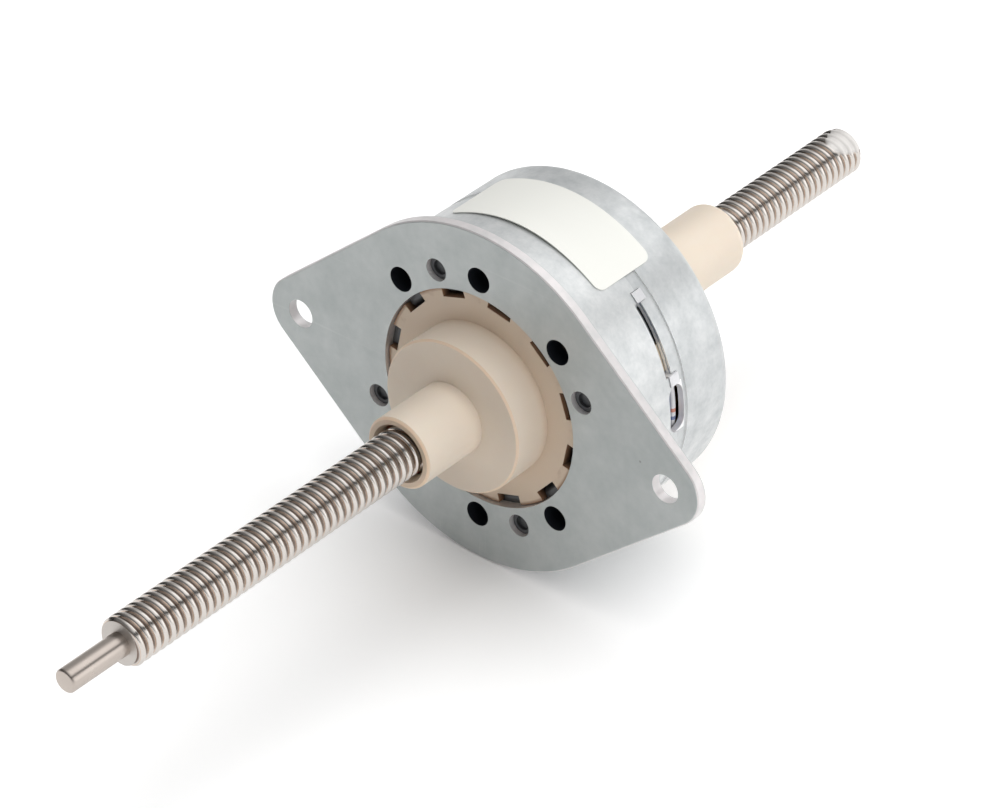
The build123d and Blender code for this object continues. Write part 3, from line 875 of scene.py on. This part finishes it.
# The rear cup's plating is a darker copy of the front cup's, so the can darkens towards the rear.
ZINC_REAR_CAN = PlatedSteel("zinc_rear_can", (0.52, 0.542, 0.548), (0.67, 0.683, 0.686), 420.0, 3.0,
                            (0.46, 0.33), metal=0.45, worn=0.5, overlays=(PaintedShadeLightAndBareSteel(),))
POLE_STEEL = PlatedSteel("pole_steel", (0.66, 0.66, 0.68), (0.86, 0.86, 0.87), 500.0, rough=(0.43, 0.30),
                         worn=0.2)
HOUSING = MouldedPlastic("beige_housing", (0.85, 0.745, 0.63), (0.80, 0.69, 0.57), scatter=0.15,
                         overlays=(HousingPaintedShadeAndHighlight(),))
SPOOL = MouldedPlastic("spool_plastic", (0.024, 0.030, 0.038), (0.045, 0.031, 0.024), gloss=0.12,
                       cloud_scale=60.0)
ANCHOR = MouldedPlastic("anchor_plastic", (0.74, 0.55, 0.34), (0.62, 0.44, 0.26))
MAGNET = MouldedPlastic("magnet_ferrite", (0.075, 0.075, 0.078), (0.05, 0.05, 0.052), (0.60, 0.51))
HUB = MouldedPlastic("hub_plastic", (0.10, 0.10, 0.10), (0.07, 0.07, 0.07))
NUT = MouldedPlastic("nut_plastic", (0.66, 0.62, 0.54), (0.58, 0.54, 0.46))
THREAD = ThreadSteel("screw_thread_steel", (0.69, 0.648, 0.61))
PIN = GroundSteel("pin_steel", (0.54, 0.48, 0.435), (0.33, 0.24))
BEARING = GroundSteel("bearing_steel", (0.56, 0.56, 0.57), (0.30, 0.21))
BALLS = GroundSteel("ball_steel", (0.76, 0.76, 0.77), (0.16, 0.07))
SPRING = GroundSteel("spring_steel", (0.40, 0.41, 0.44), (0.36, 0.27))
WIRE = WoundWire("copper_wire", (0.55, 0.25, 0.12))
LEADS = LeadInsulation("lead_insulation", (0.52, 0.24, 0.19))
LABEL = LabelFilm("label_film", (0.915, 0.92, 0.875))


# Mesh helpers


def link_piece(mesh: bpy.types.Mesh, name: str, finish: Finish, body: Body) -> bpy.types.Object:
    """Puts a finished mesh into the scene on its body.

    Args:
        mesh: The mesh, with its place in it.
        name: The piece's name.
        finish: Its finish.
        body: The body that it rides on.

    Returns:
        The new object.
    """
    mesh.name = name
    mesh.materials.clear()
    mesh.materials.append(finish.material())
    piece = bpy.data.objects.new(name, mesh)
    bpy.context.scene.collection.objects.link(piece)
    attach(piece, body.value)
    LOG.info("%s: %d faces on %s", name, len(mesh.polygons), body.value)
    return piece


def lathe(profile: list[tuple[float, float]], steps: int, closed: bool = False) -> bpy.types.Mesh:
    """Closed mesh turned round the screw's axis.

    Args:
        profile: Radius and place along the screw, from one pole to the other or round a section.
        steps: Faces round the axis.
        closed: Whether the profile is a section that closes on itself.

    Returns:
        The mesh, smooth apart from its sharp edges.
    """
    shape = bmesh.new()
    turns = [2 * math.pi * step / steps for step in range(steps)]
    rings = []
    for radius, y in profile:
        angles = turns if radius else turns[:1]
        rings.append([shape.verts.new((radius * math.cos(a), y, radius * math.sin(a))) for a in angles])
    for front, back in zip(rings, rings[1:] + rings[:1] if closed else rings[1:]):
        for step in range(steps):
            after = (step + 1) % steps
            corners = [front[step % len(front)], front[after % len(front)],
                       back[after % len(back)], back[step % len(back)]]
            shape.faces.new(list(dict.fromkeys(corners)))
    bmesh.ops.recalc_face_normals(shape, faces=shape.faces)
    return finish_mesh(shape)


def finish_mesh(shape: bmesh.types.BMesh, sharp: float = math.radians(32.0)) -> bpy.types.Mesh:
    """Turns a bmesh into a mesh that is smooth apart from its sharp edges.

    Args:
        shape: The bmesh, freed here.
        sharp: Angle over which an edge is sharp.

    Returns:
        The mesh.
    """
    mesh = bpy.data.meshes.new("shape")
    shape.to_mesh(mesh)
    shape.free()
    mesh.shade_smooth()
    mesh.set_sharp_from_angle(angle=sharp)
    return mesh


# Sub-assemblies


@dataclass
class SolidDress:
    """CAD nodes of one sub-assembly, with a finish for each. A paired node stands in front and behind."""

    single: dict[str, Finish] = field(default_factory=dict)
    paired: dict[str, Finish] = field(default_factory=dict)

    def build(self) -> None:
        """Gives every node its finish."""
        pairs = {f"{end}_{name}": finish for name, finish in self.paired.items() for end in ("front", "rear")}
        for node, finish in (self.single | pairs).items():
            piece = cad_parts[node]
            piece.data.materials.clear()
            piece.data.materials.append(finish.material())
            LOG.info("%s: %s", node, finish.name)


@dataclass
class Stator(SolidDress):
    """Plate, cups, pole plates, coils, leads and housings."""

    single: dict[str, Finish] = field(default_factory=lambda: {
        "flange_plate": ZINC_PLATE, "front_cup": ZINC_CAN, "rear_cup": ZINC_REAR_CAN, "coil_leads": LEADS,
        "lead_anchor": ANCHOR})
    paired: dict[str, Finish] = field(default_factory=lambda: {
        "pole_plate": POLE_STEEL, "bobbin": SPOOL, "winding": WIRE, "housing": HOUSING})


@dataclass
class Bearings(SolidDress):
    """Two ball bearings, and the washer that loads the rear one."""

    single: dict[str, Finish] = field(default_factory=lambda: {"preload_washer": SPRING})
    paired: dict[str, Finish] = field(default_factory=lambda: {
        "bearing_outer_ring": BEARING, "bearing_inner_ring": BEARING, "bearing_balls": BALLS})


@dataclass
class Rotor(SolidDress):
    """Ring magnet, hub and nut."""

    single: dict[str, Finish] = field(default_factory=lambda: {
        "rotor_magnet": MAGNET, "rotor_hub": HUB, "drive_nut": NUT})


@dataclass
class ThreadTree:
    """Geometry Nodes tree that winds a thread round the screw's axis, cut off square at both ends."""

    radius: float = 3.175 * MM
    root_radius: float = 2.53 * MM
    core_share: float = 0.5
    pitch: float = 1.2192 * MM
    front_chamfer: float = 0.35 * MM
    rear_chamfer: float = 0.5 * MM
    steps: int = 40
    spare_turns: int = 2
    weld: float = 0.002 * MM
    sharp: float = math.radians(58.0)
    end_normal: float = 0.9999
    stake: StakedEnd = StakedEnd()
    phases: tuple[float, ...] = (0.0, 0.09, 0.16, 0.22, 0.29, 0.38, 0.5, 0.62, 0.71, 0.78, 0.84, 0.91, 1.0)
    heights: tuple[float, ...] = (0.0, 0.04, 0.30, 0.66, 0.88, 0.98, 1.0, 0.98, 0.88, 0.66, 0.30, 0.04, 0.0)
    sockets: dict[str, str] = field(default_factory=dict)

    @property
    def turns(self) -> int:
        """Whole turns that cover the thread and reach past both its ends."""
        return math.ceil((SCREW_REAR - SCREW_FRONT) / self.pitch) + 2 * self.spare_turns

    def curve(self, graph: Graph, row: object, values: tuple[float, ...]) -> Socket:
        """Straight-line curve through one value for each row of the profile.

        Args:
            graph: The tree.
            row: Share of the way along the profile, from 0 to 1.
            values: One value for each row.

        Returns:
            The value's socket.
        """
        node = graph.add("ShaderNodeFloatCurve", Value=row)
        points = node.mapping.curves[0].points
        last = len(values) - 1
        points[0].location = (0.0, values[0])
        points[1].location = (1.0, values[-1])
        for number in range(1, last):
            points.new(number / last, values[number])
        for point in points:
            point.handle_type = "VECTOR"
        node.mapping.update()
        return node.outputs[0]

    def name_inputs(self, tree: bpy.types.NodeTree) -> None:
        """Adds the tree's named inputs, and keeps their identifiers.

        Args:
            tree: The empty tree.
        """
        sizes = {"Crest radius": self.radius, "Root radius": self.root_radius, "Pitch": self.pitch,
                 "Front": SCREW_FRONT, "Rear": SCREW_REAR, "Front chamfer": self.front_chamfer,
                 "Rear chamfer": self.rear_chamfer}
        others = {"Turns": "NodeSocketInt", "Steps": "NodeSocketInt", "Material": "NodeSocketMaterial"}
        for name, kind in (dict.fromkeys(sizes, "NodeSocketFloat") | others).items():
            socket = tree.interface.new_socket(name, in_out="INPUT", socket_type=kind)
            self.sockets[name] = socket.identifier
            if name in sizes:
                socket.default_value = sizes[name]

    def build(self) -> bpy.types.NodeTree:
        """Builds the tree, a grid that is wound into a thread.

        Returns:
            The tree.
        """
        tree = bpy.data.node_groups.new("lead_screw_thread", "GeometryNodeTree")
        tree.interface.new_socket("Geometry", in_out="OUTPUT", socket_type="NodeSocketGeometry")
        self.name_inputs(tree)
        graph = Graph(tree)
        enter = graph.add("NodeGroupInput").outputs
        columns = graph.plus(graph.times(enter["Turns"], enter["Steps"]), 1)
        grid = graph.add("GeometryNodeMeshGrid", Size_X=1.0, Size_Y=1.0, Vertices_X=columns,
                         Vertices_Y=len(self.phases))
        across, up, _ = graph.split(graph.add("GeometryNodeInputPosition").outputs[0])
        turn = graph.times(graph.plus(across, 0.5), enter["Turns"])
        row = graph.plus(up, 0.5)
        start = graph.minus(enter["Front"], graph.times(enter["Pitch"], self.spare_turns))
        travel = graph.times(graph.plus(turn, self.curve(graph, row, self.phases)), enter["Pitch"])
        along = graph.plus(start, travel)
        angle = graph.times(turn, 2 * math.pi)
        cosine, sine = graph.math("COSINE", angle), graph.times(graph.math("SINE", angle), -1.0)
        staked = graph.times(self.stake.mask(graph, cosine, along, sine), self.stake.height)
        height = graph.math("MAXIMUM", self.curve(graph, row, self.heights), staked)
        depth = graph.minus(enter["Crest radius"], enter["Root radius"])
        thread = graph.plus(enter["Root radius"], graph.times(depth, height))
        for end, outward in (("Front", 1.0), ("Rear", -1.0)):
            inside = graph.times(graph.minus(along, enter[end]), outward)
            limit = graph.plus(graph.minus(enter["Crest radius"], enter[f"{end} chamfer"]), inside)
            thread = graph.math("MINIMUM", thread, limit)
        thread = graph.math("MAXIMUM", thread, graph.times(enter["Root radius"], self.core_share))
        spot = graph.add("ShaderNodeCombineXYZ", X=graph.times(thread, cosine), Y=along,
                         Z=graph.times(thread, sine))
        wound = graph.add("GeometryNodeSetPosition", Geometry=grid.outputs["Mesh"], Position=spot.outputs[0])
        welded = graph.add("GeometryNodeMergeByDistance", Geometry=wound.outputs[0], Distance=self.weld)
        real = graph.add("GeometryNodeRealizeInstances", Geometry=welded.outputs[0])
        dressed = graph.add("GeometryNodeSetMaterial", Geometry=real.outputs[0], Material=enter["Material"])
        graph.add("NodeGroupOutput", Geometry=dressed.outputs[0])
        return tree

    def mesh(self, material: bpy.types.Material) -> bpy.types.Mesh:
        """Runs the tree once and gives its result as a plain mesh.

        Args:
            material: The thread's material.

        Returns:
            The closed mesh of the thread.
        """
        holder = bpy.data.objects.new("thread_holder", bpy.data.meshes.new("thread_holder"))
        bpy.context.scene.collection.objects.link(holder)
        modifier = holder.modifiers.new("thread", "NODES")
        modifier.node_group = self.build()
        for name, value in (("Turns", self.turns), ("Steps", self.steps), ("Material", material)):
            modifier[self.sockets[name]] = value
        wound = holder.evaluated_get(bpy.context.evaluated_depsgraph_get())
        mesh = bpy.data.meshes.new_from_object(wound)
        bpy.data.objects.remove(holder)
        self.cut_ends(mesh)
        mesh.shade_smooth()
        mesh.set_sharp_from_angle(angle=self.sharp)
        for face in mesh.polygons:
            face.use_smooth = abs(face.normal.y) < self.end_normal
        return mesh

    def cut_ends(self, mesh: bpy.types.Mesh) -> None:
        """Cuts the thread off at its two end planes and closes it with flat faces.

        Args:
            mesh: The open mesh from the tree, changed in place.
        """
        shape = bmesh.new()
        shape.from_mesh(mesh)
        for end, outward in ((SCREW_FRONT, -1.0), (SCREW_REAR, 1.0)):
            everything = [*shape.verts, *shape.edges, *shape.faces]
            cut = bmesh.ops.bisect_plane(shape, geom=everything, plane_co=(0.0, end, 0.0), dist=self.weld,
                                         plane_no=(0.0, outward, 0.0), clear_outer=True)
            rim = [item for item in cut["geom_cut"] if isinstance(item, bmesh.types.BMEdge)]
            bmesh.ops.edgeloop_fill(shape, edges=rim)
        bmesh.ops.recalc_face_normals(shape, faces=shape.faces)
        shape.to_mesh(mesh)
        shape.free()


@dataclass
class LeadScrew:
    """Lead screw: the thread with its staked rear end, and the plain pin at its front."""

    thread: ThreadTree = field(default_factory=ThreadTree)
    pin_radius: float = 1.5 * MM
    pin_front: float = -70.1 * MM
    pin_round: float = 0.35 * MM
    round_step: float = math.radians(15.0)
    round_points: int = 7
    pin_steps: int = 72

    def build(self) -> None:
        """Builds the thread and the pin in place of the plain CAD rod."""
        wound = self.thread.mesh(THREAD.material())
        piece = link_piece(wound, "lead_screw_thread", THREAD, Body.SCREW)
        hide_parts("lead_screw")
        flat = self.pin_radius - self.pin_round
        bend = [self.round_step * number for number in range(self.round_points)]
        rounded = [(flat + self.pin_round * math.sin(a), self.pin_front + self.pin_round * (1 - math.cos(a)))
                   for a in bend]
        profile = [(0.0, self.pin_front), *rounded, (self.pin_radius, SCREW_FRONT), (0.0, SCREW_FRONT)]
        link_piece(lathe(profile, self.pin_steps), "lead_screw_pin", PIN, Body.SCREW)


@dataclass
class MouthLip:
    """Tapered lip inside the mouth of the front sleeve, which the screw clears by a little."""

    nose: float = -14.5 * MM
    bore: float = 3.8 * MM
    throat: float = 3.42 * MM
    sunk: float = 0.04 * MM
    taper: float = 0.75 * MM
    land: float = 0.8 * MM
    steps: int = 96

    def build(self) -> None:
        """Builds the lip."""
        front = self.nose + self.sunk
        throat = front + self.taper
        back = throat + self.land
        section = [(self.bore, front), (self.throat, throat), (self.throat, back), (self.bore, back)]
        link_piece(lathe(section, self.steps, closed=True), "front_mouth_lip", HOUSING, Body.STATOR)


@dataclass
class CanLabel:
    """Blank label on top of the can, with its front and rear edges lifted a little in the middle."""

    first_angle: float = math.radians(53.5)
    last_angle: float = math.radians(119.0)
    front: float = 6.8 * MM
    back: float = 16.5 * MM
    radius: float = 21.03 * MM
    thickness: float = 0.11 * MM
    corner: float = 1.2 * MM
    lift: float = 0.28 * MM
    rear_lift: float = 0.16 * MM
    columns: int = 72
    rows: int = 18

    def corner_inset(self, along: float) -> float:
        """How far a straight edge draws in near a rounded corner.

        Args:
            along: Distance to the nearer end, in metres.

        Returns:
            The inset, in metres.
        """
        left = max(self.corner - along, 0.0)
        return self.corner - math.sqrt(max(self.corner * self.corner - left * left, 0.0))

    def line(self, share: float) -> list[Triple]:
        """Points of one line across the label, from its front edge to its rear edge.

        Args:
            share: Share of the way round the label, from 0 to 1.

        Returns:
            The points.
        """
        arc = self.radius * (self.last_angle - self.first_angle)
        along = share * arc
        inset = self.corner_inset(min(along, arc - along))
        angle = self.first_angle + share * (self.last_angle - self.first_angle)
        points = []
        for row in range(self.rows + 1):
            depth = row / self.rows
            y = self.front + inset + depth * (self.back - self.front - 2 * inset)
            raised = self.lift * (1 - depth) ** 4 + self.rear_lift * depth ** 4
            radius = self.radius + raised * math.sin(math.pi * share) ** 2
            points.append((radius * math.cos(angle), y, radius * math.sin(angle)))
        return points

    def build(self) -> None:
        """Builds the label in place of its CAD node."""
        shape = bmesh.new()
        turns = [math.pi * (column / self.columns) for column in range(self.columns + 1)]
        shares = [0.5 - 0.5 * math.cos(turn) for turn in turns]
        grid = [[shape.verts.new(point) for point in self.line(share)] for share in shares]
        for left, right in zip(grid, grid[1:]):
            for row in range(self.rows):
                shape.faces.new((left[row], left[row + 1], right[row + 1], right[row]))
        bmesh.ops.recalc_face_normals(shape, faces=shape.faces)
        if sum(face.normal.z for face in shape.faces) < 0:
            bmesh.ops.reverse_faces(shape, faces=shape.faces)
        bmesh.ops.solidify(shape, geom=shape.faces[:], thickness=-self.thickness)
        bmesh.ops.recalc_face_normals(shape, faces=shape.faces)
        piece = link_piece(finish_mesh(shape), "blank_label", LABEL, Body.STATOR)
        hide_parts("label")


# Stage


@dataclass(frozen=True)
class Lamp:
    """Square soft lamp that points at the motor: its place, length of side and power in watts."""

    name: str
    place: Triple
    size: float
    power: float
    target: Triple = (0.0, 0.01, 0.0)

    def build(self) -> None:
        """Hangs the lamp, unseen in reflections."""
        light = bpy.data.lights.new(self.name, "AREA")
        light.shape = "SQUARE"
        light.size = self.size
        light.energy = self.power
        lamp = bpy.data.objects.new(self.name, light)
        lamp.visible_glossy = False
        lamp.location = self.place
        beam = Vector(self.target) - Vector(self.place)
        lamp.rotation_euler = beam.to_track_quat("-Z", "Y").to_euler()
        bpy.context.scene.collection.objects.link(lamp)


@dataclass
class Studio:
    """White floor, soft light and the camera."""

    floor_height: float = -23.15 * MM
    floor_size: float = 6.0
    floor_tone: float = 0.90
    floor_glow: float = 0.38
    shadow_reach: float = 0.045
    camera_place: Triple = (289.19 * MM, -348.01 * MM, 316.50 * MM)
    azimuth: float = math.radians(39.396)
    elevation: float = math.radians(35.030)
    roll: float = math.radians(0.409)
    lens: float = 168.35
    sensor: float = 36.0
    sky_toward: Triple = (0.60, 0.48, 0.64)
    sky_range: tuple[float, ...] = (-0.10, 0.75, 0.18, 1.04)
    behind_range: tuple[float, float] = (0.15, 0.40)
    behind_level: float = 0.75
    gap_angle: float = math.radians(44.5)
    gap_half: float = 0.10
    gap_feather: float = 0.09
    gap_level: float = 0.04
    box_feather: float = math.radians(9.0)
    boxes: tuple[Triple, ...] = ((10.0, 18.0, 0.62), (80.0, 17.0, 0.52))
    left_fade: Triple = (146.0, 160.0, 0.2)
    dusk_fade: Triple = (100.0, 126.0, 0.68)
    lamps: tuple[Lamp, ...] = (Lamp("key_lamp", (-0.08, 0.10, 0.84), 0.6, 1.9),
                               Lamp("side_lamp", (0.82, 0.03, 0.08), 0.3, 1.25))

    def floor(self) -> None:
        """Pale floor that keeps the object's shadow, with its glow dimmed near the motor by ambient occlusion
        as a painted contact shade.
        """
        shape = bmesh.new()
        bmesh.ops.create_grid(shape, x_segments=1, y_segments=1, size=self.floor_size / 2)
        mesh = bpy.data.meshes.new("floor")
        shape.to_mesh(mesh)
        shape.free()
        mesh.transform(Matrix.Translation((0.0, 0.0, self.floor_height)))
        floor = bpy.data.objects.new("floor", mesh)
        bpy.context.scene.collection.objects.link(floor)
        material = bpy.data.materials.new("white_floor")
        material.use_nodes = True
        graph = Graph(material.node_tree)
        rays = graph.add("ShaderNodeLightPath").outputs
        shown = graph.plus(rays["Is Camera Ray"], rays["Is Glossy Ray"])
        shown = graph.plus(shown, rays["Is Transmission Ray"])
        open_floor = graph.add("ShaderNodeAmbientOcclusion", {"samples": 8}, Distance=self.shadow_reach)
        # Painted contact shade: ambient occlusion dims the floor's glow near the motor.
        glow = graph.times(open_floor.outputs["AO"], self.floor_glow)
        graph.fill(material.node_tree.nodes["Principled BSDF"],
                   Base_Color=as_colour((self.floor_tone, self.floor_tone, self.floor_tone)),
                   Roughness=0.9, Specular_IOR_Level=0.0, Emission_Color=(1.0, 1.0, 1.0, 1.0),
                   Emission_Strength=graph.times(graph.math("MINIMUM", shown, 1.0), glow))
        mesh.materials.append(material)

    def world(self) -> None:
        """Soft light from overhead and the right, with two softboxes behind and a dark gap between them."""
        world = bpy.data.worlds.new("studio")
        bpy.context.scene.world = world
        world.use_nodes = True
        graph = Graph(world.node_tree)
        x, y, z = graph.split(graph.add("ShaderNodeTexCoord").outputs["Generated"])
        across, along, up = (graph.times(part, share) for part, share in zip((x, y, z), self.sky_toward))
        soft = graph.remap(graph.plus(across, graph.plus(along, up)), *self.sky_range, smooth=True)
        behind = graph.remap(y, *self.behind_range, smooth=True)
        soft = graph.math("MAXIMUM", soft, graph.times(behind, self.behind_level))
        turn = graph.math("ARCTAN2", z, x)
        for centre, half, more in self.boxes:
            off = graph.math("ABSOLUTE", graph.minus(turn, math.radians(centre)))
            inner = math.radians(half)
            box = graph.remap(off, inner, inner + self.box_feather, more, 0.0, smooth=True)
            soft = graph.plus(soft, graph.times(box, behind))
        off = graph.math("ABSOLUTE", graph.minus(turn, self.gap_angle))
        open_sky = graph.remap(off, self.gap_half, self.gap_half + self.gap_feather, self.gap_level, 1.0,
                               smooth=True)
        left, dusk = (graph.remap(turn, math.radians(start), math.radians(end), 1.0, level, smooth=True)
                      for start, end, level in (self.left_fade, self.dusk_fade))
        side = graph.add("ShaderNodeMix", {"data_type": "FLOAT"}, Factor=behind, A=left, B=dusk).outputs[0]
        graph.fill(world.node_tree.nodes["Background"], Color=(1.0, 1.0, 1.0, 1.0),
                   Strength=graph.times(soft, graph.times(open_sky, side)))

    def camera(self) -> None:
        """Camera at the photograph's place and angle."""
        flat = math.cos(self.elevation)
        ahead = Vector((-math.sin(self.azimuth) * flat, math.cos(self.azimuth) * flat,
                        -math.sin(self.elevation)))
        right = Vector((math.cos(self.azimuth), math.sin(self.azimuth), 0.0))
        up = right.cross(ahead)
        turned_right = right * math.cos(self.roll) + up * math.sin(self.roll)
        turned_up = up * math.cos(self.roll) - right * math.sin(self.roll)
        turn = Matrix((turned_right, turned_up, -ahead)).transposed()
        lens = bpy.data.cameras.new("camera")
        lens.lens = self.lens
        lens.sensor_width = self.sensor
        lens.sensor_fit = "HORIZONTAL"
        lens.clip_start = 0.01
        camera = bpy.data.objects.new("camera", lens)
        camera.matrix_world = Matrix.Translation(self.camera_place) @ turn.to_4x4()
        bpy.context.scene.collection.objects.link(camera)
        bpy.context.scene.camera = camera

    def build(self) -> None:
        """Sets up the stage."""
        self.floor()
        self.world()
        for lamp in self.lamps:
            lamp.build()
        self.camera()
        bpy.context.scene.view_settings.view_transform = "Standard"


def main() -> None:
    """Builds the sub-assemblies and the stage in order."""
    logging.basicConfig(level=logging.INFO, format="%(name)s %(message)s")
    for assembly in (Stator(), Bearings(), Rotor(), LeadScrew(), MouthLip(), CanLabel(), Studio()):
        assembly.build()


if __name__ == "__main__":
    main()
